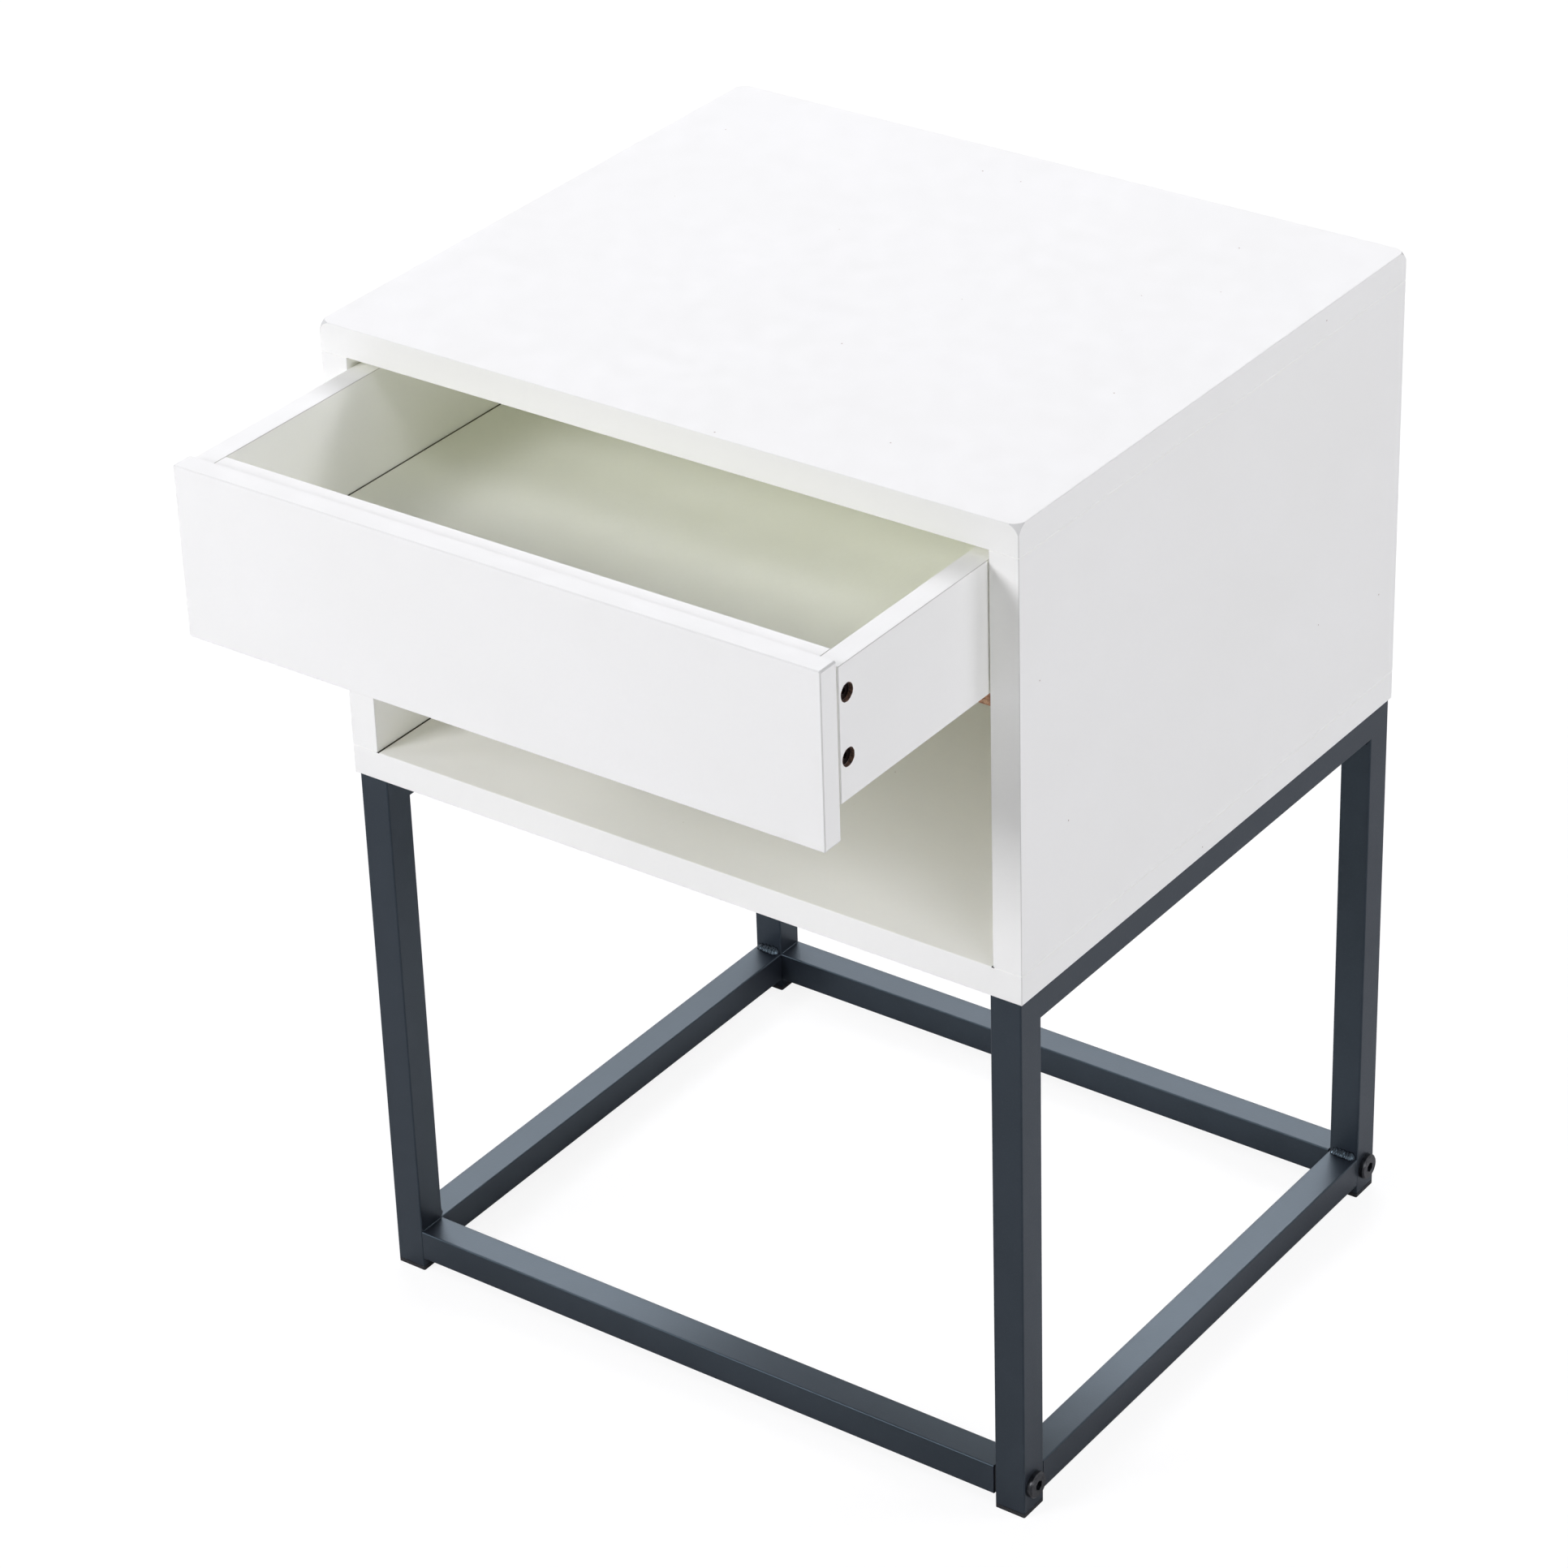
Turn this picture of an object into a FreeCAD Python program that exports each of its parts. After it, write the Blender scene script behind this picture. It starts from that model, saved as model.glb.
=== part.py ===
import FreeCAD, Part

import math
import os
import re

import Sketcher

# Nightstand: a white box with one drawer over an open shelf, on a frame of square steel tube.
# +X is to the right, +Y to the back, +Z up. The origin is on the floor under the middle of the box.
# The drawer is drawn part-way out, as it stands at rest.

# Driving sizes, in millimetres
SIZES = {
    # Box
    "cabinet_width": 400,
    "cabinet_depth": 345,
    "cabinet_height": 250,
    "overall_height": 551,
    "board_thickness": 16,
    "board_edge_break": 0.3,
    "top_corner_round": 7.2,
    "back_thickness": 3,
    "back_inset": 8,
    "groove_depth": 6,
    "groove_play": 0.15,
    # Steel frame
    "tube_width": 17.2,
    "tube_wall": 1.5,
    "tube_corner": 0.8,
    "frame_inset": 1.7,
    "low_rail_height": 7.4,
    "foot_flange": 2.2,
    "foot_neck_height": 0.3,
    "foot_neck_inset": 0.6,
    "foot_plug_height": 5,
    "foot_plug_wall": 1.5,
    "plug_play": 0.15,
    "end_plug_flange": 1,
    "end_plug_inset": 1,
    "end_plug_length": 20,
    # Fasteners of the frame
    "rail_bolt_shank": 8,
    "rail_bolt_head": 14,
    "rail_bolt_head_height": 3,
    "rail_bolt_head_bevel": 0.8,
    "rail_bolt_socket": 5,
    "rail_bolt_socket_depth": 2.5,
    "rail_bolt_grip": 17,
    "box_screw_shank": 5,
    "box_screw_length": 29,
    "box_screw_head": 11,
    "box_screw_head_height": 3,
    "box_screw_socket": 3,
    "box_screw_socket_depth": 2,
    "box_screw_spacing": 220,
    "bolt_hole_play": 0.4,
    # Drawer
    "drawer_open": 127,
    "drawer_side_play": 0.75,
    "drawer_back_play": 1,
    "front_height": 90,
    "front_thickness": 12,
    "front_side_gap": 1.5,
    "front_top_gap": 2.5,
    "front_corner_round": 1.2,
    "front_edge_bevel": 0.5,
    "drawer_board": 12,
    "drawer_side_height": 68,
    "front_rise": 3,
    "floor_thickness": 3,
    "floor_rise": 9.5,
    "floor_groove_depth": 5,
    # Screws of the drawer
    "side_screw_rise": 21,
    "side_screw_spacing": 32,
    "side_screw_hole": 8.7,
    "side_screw_sink": 2,
    "side_screw_head": 8.5,
    "side_screw_head_height": 3.5,
    "side_screw_shank": 5,
    "side_screw_length": 40,
    "side_screw_socket": 3,
    "side_screw_socket_depth": 1.8,
    # Runners
    "runner_height": 14,
    "runner_width": 16,
    "runner_front_gap": 0.5,
    "runner_play": 0.3,
    # How far each cutting shape runs past the wood or steel
    "cut_overrun": 1,
}

# Lengths that follow from the driving sizes
OPENING_WIDTH = "(cabinet_width - 2 * board_thickness)"
OPENING_HEIGHT = "(cabinet_height - 2 * board_thickness)"
BOX_BOTTOM = "(overall_height - cabinet_height)"
SHELF_TOP = f"({BOX_BOTTOM} + board_thickness)"
OPENING_TOP = "(overall_height - board_thickness)"
BOX_FRONT = "(-cabinet_depth / 2)"
SIDE_MIDDLE = "(cabinet_width / 2 - board_thickness / 2)"
GROOVE_MIDDLE = "(cabinet_depth / 2 - back_inset - back_thickness / 2)"

TUBE_HOLLOW = "(tube_width - 2 * tube_wall)"
FRAME_DEPTH = "(cabinet_depth - frame_inset)"
FRAME_MIDDLE = "(frame_inset / 2)"
LEG_SIDE = "(cabinet_width / 2 - frame_inset - tube_width / 2)"
LEG_FRONT = f"({BOX_FRONT} + frame_inset + tube_width / 2)"
LEG_BACK = "(cabinet_depth / 2 - tube_width / 2)"
LEG_BOTTOM = "(foot_flange + foot_neck_height)"
LEG_LENGTH = f"({BOX_BOTTOM} - {LEG_BOTTOM})"
LOW_RAIL_MIDDLE = "(low_rail_height + tube_width / 2)"
TOP_RAIL_MIDDLE = f"({BOX_BOTTOM} - tube_width / 2)"
BETWEEN_LEGS_DEPTH = f"({FRAME_DEPTH} - 2 * tube_width)"
BETWEEN_LEGS_WIDTH = "(cabinet_width - 2 * frame_inset - 2 * tube_width)"

DRAWER_WIDTH = f"({OPENING_WIDTH} - 2 * drawer_side_play)"
DRAWER_INSIDE = f"({DRAWER_WIDTH} - 2 * drawer_board)"
BACK_FACE = "(cabinet_depth / 2 - back_inset - back_thickness)"
DRAWER_SIDE_LENGTH = f"({BACK_FACE} - drawer_back_play - {BOX_FRONT} - front_thickness)"
FRONT_TOP = f"({OPENING_TOP} - front_top_gap)"
DRAWER_TOP = f"({FRONT_TOP} - front_rise)"
DRAWER_BOTTOM = f"({DRAWER_TOP} - drawer_side_height)"
DRAWER_FACE = f"({BOX_FRONT} - drawer_open)"
SIDES_FRONT = f"({DRAWER_FACE} + front_thickness)"
SIDES_MIDDLE = f"({SIDES_FRONT} + {DRAWER_SIDE_LENGTH} / 2)"
FLOOR_MIDDLE = f"({DRAWER_BOTTOM} + floor_rise + floor_thickness / 2)"
DRAWER_SIDE_MIDDLE = f"({DRAWER_WIDTH} / 2 - drawer_board / 2)"
INNER_FRONT_MIDDLE = f"({SIDES_FRONT} + drawer_board / 2)"
DRAWER_BACK_MIDDLE = f"({SIDES_FRONT} + {DRAWER_SIDE_LENGTH} - drawer_board / 2)"
SIDE_SCREWS_ABOVE_MIDDLE = "(side_screw_rise + side_screw_spacing / 2 - drawer_side_height / 2)"
FLOOR_ABOVE_MIDDLE = "(floor_rise + floor_thickness / 2 - drawer_side_height / 2)"

RUNNER_LENGTH = f"({BACK_FACE} - {BOX_FRONT} - front_thickness - runner_front_gap)"
RUNNER_MIDDLE = f"({BACK_FACE} - {RUNNER_LENGTH} / 2)"
RUNNER_SIDE = f"({OPENING_WIDTH} / 2 - runner_width / 2)"
RUNNER_CENTRE_HEIGHT = f"({DRAWER_BOTTOM} - runner_play - runner_height / 2)"

# Steps from the middle of a row of equal holes or fasteners, in spacings
ROW_OF_TWO = (-0.5, 0.5)

# A share of a size that is too small to matter
TINY_SHARE = 1e-5

# Which way a drawn shape is turned before it is set in place
QUARTER_TURN = 90
UPRIGHT = (0, 0, 0)
HALF_ROUND = (2 * QUARTER_TURN, 0, 0)
UPSIDE_DOWN = (0, 0, 2 * QUARTER_TURN)
ALONG_Y = (0, 0, -QUARTER_TURN)
ALONG_X = (0, QUARTER_TURN, 0)
ALONG_MINUS_X = (0, -QUARTER_TURN, 0)

doc = FreeCAD.newDocument("nightstand")
sheet = doc.addObject("Spreadsheet::Sheet", "Sizes")
for row, (alias, value) in enumerate(SIZES.items(), start=1):
    sheet.set(f"A{row}", str(value))
    sheet.setAlias(f"A{row}", alias)
doc.recompute()

sub_parts = []


def formula(text):
    """The expression with each size's name read from the sheet."""
    return re.sub(r"[a-z]\w*", lambda word: f"Sizes.{word.group(0)}", text)


def amount(text):
    """The expression's present value in millimetres."""
    return float(sheet.evalExpression(formula(text)))


def place(piece, x="0", y="0", z="0", turn=UPRIGHT):
    """Set a piece in the nightstand's frame, its position bound to the sheet."""
    piece.Placement = FreeCAD.Placement(FreeCAD.Vector(), FreeCAD.Rotation(*turn))
    for axis, text in (("x", x), ("y", y), ("z", z)):
        piece.setExpression(f"Placement.Base.{axis}", formula(text))


def keep(piece, label):
    """List a finished sub-part under the name of its node."""
    piece.Label = label
    sub_parts.append(piece)
    return piece


def keep_copies(body, label, places):
    """Several copies of one solid in one node."""
    links = []
    for index, (x, y, z, turn) in enumerate(places):
        link = doc.addObject("App::Link", f"{label}_{index}")
        link.LinkedObject = body
        place(link, x, y, z, turn)
        links.append(link)
    group = doc.addObject("Part::Compound", label)
    group.Links = links
    keep(group, label)


# Sketches

def new_sketch(body, role, name, x="0", y="0", z="0", spin=0):
    """A sketch on one of the body's origin planes, moved and spun within it."""
    sketch = body.newObject("Sketcher::SketchObject", name)
    plane = next(part for part in body.Origin.OriginFeatures if part.Role == role)
    sketch.AttachmentSupport = [(plane, "")]
    sketch.MapMode = "FlatFace"
    sketch.AttachmentOffset = FreeCAD.Placement(FreeCAD.Vector(), FreeCAD.Rotation(spin, 0, 0))
    for axis, text in (("x", x), ("y", y), ("z", z)):
        sketch.setExpression(f"AttachmentOffset.Base.{axis}", formula(text))
    return sketch


def bind(sketch, kind, *members, length):
    """Add a constraint whose value follows the sheet."""
    index = sketch.addConstraint(Sketcher.Constraint(kind, *members, amount(length)))
    sketch.setExpression(f"Constraints[{index}]", formula(length))


def add_rectangle(sketch, width, height):
    """A rectangle about the sketch's origin."""
    right, up = amount(width) / 2, amount(height) / 2
    corners = [FreeCAD.Vector(x, y) for x, y in ((-right, -up), (right, -up), (right, up), (-right, up))]
    first = sketch.GeometryCount
    for start, end in zip(corners, corners[1:] + corners[:1]):
        sketch.addGeometry(Part.LineSegment(start, end))
    bottom, side, top, other = range(first, first + len(corners))
    for line, after in ((bottom, side), (side, top), (top, other), (other, bottom)):
        sketch.addConstraint(Sketcher.Constraint("Coincident", line, 2, after, 1))
    for line in (bottom, top):
        sketch.addConstraint(Sketcher.Constraint("Horizontal", line))
    for line in (side, other):
        sketch.addConstraint(Sketcher.Constraint("Vertical", line))
    sketch.addConstraint(Sketcher.Constraint("Symmetric", bottom, 1, top, 1, -1, 1))
    bind(sketch, "DistanceX", bottom, 1, bottom, 2, length=width)
    bind(sketch, "DistanceY", side, 1, side, 2, length=height)


def add_rounded_rectangle(sketch, width, height, radius):
    """A rectangle about the sketch's origin with round corners."""
    right, up, bend = amount(width) / 2, amount(height) / 2, amount(radius)
    quarter = math.pi / 2
    across, tall = FreeCAD.Vector(right - bend, 0), FreeCAD.Vector(0, up - bend)
    centres = [across - tall, across + tall, tall - across, FreeCAD.Vector() - across - tall]
    arcs = []
    for index, centre in enumerate(centres):
        circle = Part.Circle(centre, FreeCAD.Vector(0, 0, 1), bend)
        arcs.append(sketch.addGeometry(Part.ArcOfCircle(circle, (index - 1) * quarter, index * quarter)))
    lines = []
    for index, arc in enumerate(arcs):
        after = arcs[(index + 1) % len(arcs)]
        ends = sketch.getPoint(arc, 2), sketch.getPoint(after, 1)
        line = sketch.addGeometry(Part.LineSegment(*ends))
        sketch.addConstraint(Sketcher.Constraint("Tangent", arc, 2, line, 1))
        sketch.addConstraint(Sketcher.Constraint("Tangent", line, 2, after, 1))
        lines.append(line)
    for arc in arcs[1:]:
        sketch.addConstraint(Sketcher.Constraint("Equal", arcs[0], arc))
    right_side, top, left_side, bottom = lines
    for line in (top, bottom):
        sketch.addConstraint(Sketcher.Constraint("Horizontal", line))
    for line in (right_side, left_side):
        sketch.addConstraint(Sketcher.Constraint("Vertical", line))
    sketch.addConstraint(Sketcher.Constraint("Symmetric", arcs[0], 3, arcs[2], 3, -1, 1))
    bind(sketch, "Radius", arcs[0], length=radius)
    bind(sketch, "DistanceX", left_side, 1, right_side, 1, length=width)
    bind(sketch, "DistanceY", bottom, 1, top, 1, length=height)


def add_hole_row(sketch, diameter, steps=(0,), spacing="0"):
    """Equal circles in a row along the sketch's X axis, centred on its origin."""
    circles = []
    for step in steps:
        centre = FreeCAD.Vector(step * amount(spacing), 0)
        circle = Part.Circle(centre, FreeCAD.Vector(0, 0, 1), amount(diameter) / 2)
        circles.append(sketch.addGeometry(circle))
    first, last = circles[0], circles[-1]
    bind(sketch, "Diameter", first, length=diameter)
    if first == last:
        sketch.addConstraint(Sketcher.Constraint("Coincident", first, 3, -1, 1))
        return
    sketch.addConstraint(Sketcher.Constraint("Symmetric", first, 3, last, 3, -1, 1))
    for circle, after in zip(circles, circles[1:]):
        sketch.addConstraint(Sketcher.Constraint("Equal", circle, after))
        sketch.addConstraint(Sketcher.Constraint("PointOnObject", circle, 3, -1))
        bind(sketch, "DistanceX", circle, 3, after, 3, length=spacing)


def add_outline(sketch, points):
    """A closed outline through points at or right of and above the sketch's origin."""
    places = [FreeCAD.Vector(amount(x), amount(y)) for x, y in points]
    lines = [
        sketch.addGeometry(Part.LineSegment(start, end))
        for start, end in zip(places, places[1:] + places[:1])
    ]
    for line, after in zip(lines, lines[1:] + lines[:1]):
        sketch.addConstraint(Sketcher.Constraint("Coincident", line, 2, after, 1))
    for line, (x, y) in zip(lines, points):
        for text, kind, axis in ((x, "DistanceX", -2), (y, "DistanceY", -1)):
            if text == "0":
                sketch.addConstraint(Sketcher.Constraint("PointOnObject", line, 1, axis))
            else:
                bind(sketch, kind, -1, 1, line, 1, length=text)


# Solid features

def new_body(name):
    return doc.addObject("PartDesign::Body", name)


def add_pad(body, sketch, length, midplane=False):
    pad = body.newObject("PartDesign::Pad", f"{sketch.Name}_pad")
    pad.Profile = sketch
    pad.Midplane = midplane
    pad.setExpression("Length", formula(length))
    doc.recompute()
    return pad


def add_pocket(body, sketch, depth=None, backwards=False):
    """Cut the sketch to a depth, or without a depth right through both ways."""
    before = body.Shape.Volume
    pocket = body.newObject("PartDesign::Pocket", f"{sketch.Name}_cut")
    pocket.Profile = sketch
    if depth:
        pocket.Reversed = backwards
        pocket.setExpression("Length", formula(depth))
    else:
        pocket.Type = "ThroughAll"
        pocket.Midplane = True
    doc.recompute()
    if math.isclose(body.Shape.Volume, before, rel_tol=TINY_SHARE):
        raise ValueError(f"{pocket.Label} cuts nothing")
    return pocket


def add_mirror(body, features, role):
    """Repeat features on the other side of one of the body's origin planes."""
    mirror = body.newObject("PartDesign::Mirrored", f"{features[-1].Name}_mirror")
    mirror.Originals = features
    plane = next(part for part in body.Origin.OriginFeatures if part.Role == role)
    mirror.MirrorPlane = (plane, [""])
    body.Tip = mirror
    doc.recompute()
    return mirror


def edge_names(shape, test):
    """The names of the shape's edges that pass a test."""
    return [f"Edge{index}" for index, edge in enumerate(shape.Edges, start=1) if test(edge)]


def break_edges(body, feature, size, test=lambda edge: True):
    """Bevel the feature's edges that pass the test."""
    bevel = body.newObject("PartDesign::Chamfer", f"{feature.Name}_edges")
    bevel.Base = (feature, edge_names(feature.Shape, test))
    bevel.setExpression("Size", formula(size))
    doc.recompute()
    return bevel


# Boards

def add_board(name, width, depth, height):
    """A board with its middle at the body's origin and its sharp edges broken."""
    body = new_body(name)
    sketch = new_sketch(body, "XY_Plane", f"{name}_outline")
    add_rectangle(sketch, width, depth)
    pad = add_pad(body, sketch, height, midplane=True)
    break_edges(body, pad, "board_edge_break")
    return body


def add_back_groove(body, role, name, length, depth, x="0", y="0", z="0", spin=0, backwards=False):
    sketch = new_sketch(body, role, f"{name}_groove", x, y, z, spin)
    add_rectangle(sketch, length, "back_thickness + groove_play")
    return add_pocket(body, sketch, depth, backwards)


# Top panel: its corners are rounded in plan and in both faces by one ball, so each becomes a small scoop
def make_top_panel():
    body = add_board("top_board", "cabinet_width", "cabinet_depth", "board_thickness")
    groove_length = f"{OPENING_WIDTH} + 2 * groove_depth"
    add_back_groove(
        body, "XY_Plane", "top", groove_length, "groove_depth",
        y=GROOVE_MIDDLE, z="-board_thickness / 2", backwards=True,
    )
    cube = doc.addObject("Part::Box", "corner_cube")
    for side in ("Length", "Width", "Height"):
        cube.setExpression(side, formula("top_corner_round + cut_overrun"))
    ball = doc.addObject("Part::Sphere", "corner_ball")
    ball.setExpression("Radius", formula("top_corner_round * 2 ^ 0.5"))
    scoop = doc.addObject("Part::Cut", "corner_scoop")
    scoop.Base = cube
    scoop.Tool = ball
    scoops = []
    for quarter, (across, along) in enumerate((("", ""), ("-", ""), ("-", "-"), ("", "-"))):
        link = doc.addObject("App::Link", f"corner_scoop_{quarter}")
        link.LinkedObject = scoop
        place(
            link,
            f"{across}(cabinet_width / 2 - top_corner_round)",
            f"{along}(cabinet_depth / 2 - top_corner_round)",
            "board_thickness / 2 - top_corner_round",
            (QUARTER_TURN * quarter, 0, 0),
        )
        scoops.append(link)
    corners = doc.addObject("Part::Compound", "corner_scoops")
    corners.Links = scoops
    panel = doc.addObject("Part::Cut", "top_panel")
    panel.Base = body
    panel.Tool = corners
    place(panel, z=f"{OPENING_TOP} + board_thickness / 2")
    keep(panel, "top_panel")


def make_bottom_panel():
    body = add_board("bottom_panel", "cabinet_width", "cabinet_depth", "board_thickness")
    groove_length = f"{OPENING_WIDTH} + 2 * groove_depth"
    add_back_groove(
        body, "XY_Plane", "bottom", groove_length, "groove_depth",
        y=GROOVE_MIDDLE, z="board_thickness / 2",
    )
    pilots = new_sketch(
        body, "XY_Plane", "box_screw_pilots",
        x=LEG_SIDE, y=FRAME_MIDDLE, z="-board_thickness / 2", spin=QUARTER_TURN,
    )
    add_hole_row(pilots, "box_screw_shank", ROW_OF_TWO, "box_screw_spacing")
    pilot_cut = add_pocket(body, pilots, "box_screw_length - tube_width", backwards=True)
    add_mirror(body, [pilot_cut], "YZ_Plane")
    place(body, z=f"{BOX_BOTTOM} + board_thickness / 2")
    keep(body, "bottom_panel")


def make_side_panel(hand, sign):
    name = f"side_panel_{hand}"
    body = add_board(name, "board_thickness", "cabinet_depth", OPENING_HEIGHT)
    inner = f"{'-' if sign > 0 else ''}board_thickness / 2"
    add_back_groove(
        body, "YZ_Plane", name, f"{OPENING_HEIGHT} + 2 * cut_overrun", "groove_depth",
        x=GROOVE_MIDDLE, z=inner, spin=QUARTER_TURN, backwards=sign > 0,
    )
    place(body, f"{sign} * {SIDE_MIDDLE}", z=f"{SHELF_TOP} + {OPENING_HEIGHT} / 2")
    keep(body, name)


def make_back_panel():
    width = f"{OPENING_WIDTH} + 2 * (groove_depth - groove_play)"
    height = f"{OPENING_HEIGHT} + 2 * (groove_depth - groove_play)"
    body = new_body("back_panel")
    sketch = new_sketch(body, "XZ_Plane", "back_outline")
    add_rectangle(sketch, width, height)
    add_pad(body, sketch, "back_thickness", midplane=True)
    place(body, y=GROOVE_MIDDLE, z=f"{SHELF_TOP} + {OPENING_HEIGHT} / 2")
    keep(body, "back_panel")


# Steel frame of square tube

def add_tube(name, length):
    """A square tube that runs up from the body's origin."""
    body = new_body(name)
    sketch = new_sketch(body, "XY_Plane", f"{name}_section")
    add_rounded_rectangle(sketch, "tube_width", "tube_width", "tube_corner")
    add_rectangle(sketch, TUBE_HOLLOW, TUBE_HOLLOW)
    add_pad(body, sketch, length)
    return body


def add_mitre(body, name, length):
    """Cut the tube's upper end to 45 degrees, short on its +Y side."""
    sketch = new_sketch(
        body, "YZ_Plane", f"{name}_mitre",
        x="-(tube_width / 2 + cut_overrun)", y=f"{length} - tube_width - cut_overrun",
    )
    side = "tube_width + 2 * cut_overrun"
    add_outline(sketch, [(side, "0"), (side, side), ("0", side)])
    return add_pocket(body, sketch)


def make_leg(end, hand, side, y, turn):
    """A leg, mitred at its top. A bolt through a right leg holds the cross rail's end."""
    name = f"leg_{end}_{hand}"
    body = add_tube(name, LEG_LENGTH)
    add_mitre(body, name, LEG_LENGTH)
    if hand == "right":
        hole = new_sketch(body, "YZ_Plane", f"{name}_bolt_hole", y=f"{LOW_RAIL_MIDDLE} - {LEG_BOTTOM}")
        add_hole_row(hole, "rail_bolt_shank + bolt_hole_play")
        add_pocket(body, hole)
    place(body, f"{side} * {LEG_SIDE}", y, LEG_BOTTOM, turn)
    keep(body, name)


def make_top_rail(hand, side):
    """The rail under the box, mitred into the legs at both ends."""
    name = f"top_rail_{hand}"
    body = add_tube(name, FRAME_DEPTH)
    add_mitre(body, f"{name}_back", FRAME_DEPTH)
    front = new_sketch(
        body, "YZ_Plane", f"{name}_front_mitre",
        x="tube_width / 2 + cut_overrun", y="tube_width + cut_overrun", spin=2 * QUARTER_TURN,
    )
    width = "tube_width + 2 * cut_overrun"
    add_outline(front, [("0", "0"), (width, width), ("0", width)])
    add_pocket(body, front)
    holes = new_sketch(body, "XZ_Plane", f"{name}_screw_holes", y=f"{FRAME_DEPTH} / 2", spin=QUARTER_TURN)
    add_hole_row(holes, "box_screw_shank + bolt_hole_play", ROW_OF_TWO, "box_screw_spacing")
    add_pocket(body, holes)
    place(body, f"{side} * {LEG_SIDE}", f"{BOX_FRONT} + frame_inset", TOP_RAIL_MIDDLE, ALONG_Y)
    keep(body, name)


def make_side_rail(hand, side):
    name = f"side_rail_{hand}"
    body = add_tube(name, BETWEEN_LEGS_DEPTH)
    place(body, f"{side} * {LEG_SIDE}", f"{LEG_FRONT} + tube_width / 2", LOW_RAIL_MIDDLE, ALONG_Y)
    keep(body, name)


def make_cross_rail(end, y):
    """Welded to the left leg and bolted to the right one, with a plug's flange between."""
    name = f"cross_rail_{end}"
    body = add_tube(name, f"{BETWEEN_LEGS_WIDTH} - end_plug_flange")
    place(body, f"-{BETWEEN_LEGS_WIDTH} / 2", y, LOW_RAIL_MIDDLE, ALONG_X)
    keep(body, name)


def make_foot_cap(end, hand, side, y):
    """A plastic cap: a flange as wide as the tube, a neck that leaves a fine gap, and a hollow plug."""
    name = f"foot_cap_{end}_{hand}"
    body = new_body(name)
    flange = new_sketch(body, "XY_Plane", f"{name}_flange")
    add_rounded_rectangle(flange, "tube_width", "tube_width", "tube_corner")
    add_pad(body, flange, "foot_flange")
    neck = new_sketch(body, "XY_Plane", f"{name}_neck", z="foot_flange")
    neck_width = "tube_width - 2 * foot_neck_inset"
    add_rectangle(neck, neck_width, neck_width)
    add_pad(body, neck, "foot_neck_height")
    plug = new_sketch(body, "XY_Plane", f"{name}_plug", z=LEG_BOTTOM)
    outer = f"{TUBE_HOLLOW} - 2 * plug_play"
    inner = f"{outer} - 2 * foot_plug_wall"
    add_rectangle(plug, outer, outer)
    add_rectangle(plug, inner, inner)
    add_pad(body, plug, "foot_plug_height")
    place(body, f"{side} * {LEG_SIDE}", y)
    keep(body, name)


def make_end_plugs():
    """Threaded plugs in the right ends of the cross rails. Each flange sits between rail and leg."""
    body = new_body("end_plug")
    flange = new_sketch(body, "XY_Plane", "end_plug_flange")
    width = "tube_width - 2 * end_plug_inset"
    add_rectangle(flange, width, width)
    add_hole_row(flange, "rail_bolt_shank")
    add_pad(body, flange, "end_plug_flange")
    plug = new_sketch(body, "XY_Plane", "end_plug_core", z="end_plug_flange")
    core = f"{TUBE_HOLLOW} - 2 * plug_play"
    add_rectangle(plug, core, core)
    add_hole_row(plug, "rail_bolt_shank")
    add_pad(body, plug, "end_plug_length")
    inner_face = f"{BETWEEN_LEGS_WIDTH} / 2"
    copies = [(inner_face, y, LOW_RAIL_MIDDLE, ALONG_MINUS_X) for y in (LEG_FRONT, LEG_BACK)]
    keep_copies(body, "rail_end_plugs", copies)


# Fasteners: each stands on the tip of its shank at the body's origin, with its head on top

def add_fastener(name, length, head="plain"):
    """A screw or bolt whose sizes are the sheet's values that begin with its name."""
    body = new_body(name)
    profile = new_sketch(body, "XZ_Plane", f"{name}_profile")
    shank, rim = f"{name}_shank / 2", f"{name}_head / 2"
    top = f"{length} + {name}_head_height"
    points = [("0", "0"), (shank, "0"), (shank, length)]
    if head != "countersunk":
        points.append((rim, length))
    if head == "bevelled":
        points += [(rim, f"{top} - {name}_head_bevel"), (f"{rim} - {name}_head_bevel", top)]
    else:
        points.append((rim, top))
    add_outline(profile, points + [("0", top)])
    turned = body.newObject("PartDesign::Revolution", f"{name}_turned")
    turned.Profile = profile
    turned.ReferenceAxis = (profile, ["V_Axis"])
    doc.recompute()
    drive = new_sketch(body, "XY_Plane", f"{name}_drive", z=top)
    add_hexagon(drive, f"{name}_socket")
    add_pocket(body, drive, f"{name}_socket_depth")
    return body


def add_hexagon(sketch, across_flats):
    """A hexagon about the sketch's origin, given across its flats."""
    corner = amount(across_flats) / 2 / math.cos(math.pi / 6)
    places = [
        FreeCAD.Vector(corner * math.cos(index * math.pi / 3), corner * math.sin(index * math.pi / 3))
        for index in range(6)
    ]
    lines = [
        sketch.addGeometry(Part.LineSegment(start, end))
        for start, end in zip(places, places[1:] + places[:1])
    ]
    for line, after in zip(lines, lines[1:] + lines[:1]):
        sketch.addConstraint(Sketcher.Constraint("Coincident", line, 2, after, 1))
        sketch.addConstraint(Sketcher.Constraint("Equal", line, after))
    sketch.addConstraint(Sketcher.Constraint("PointOnObject", lines[0], 1, -1))
    sketch.addConstraint(Sketcher.Constraint("Symmetric", lines[0], 1, lines[3], 1, -1, 1))
    sketch.addConstraint(Sketcher.Constraint("Horizontal", lines[1]))
    bind(sketch, "DistanceY", lines[4], 1, lines[1], 1, length=across_flats)


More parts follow.
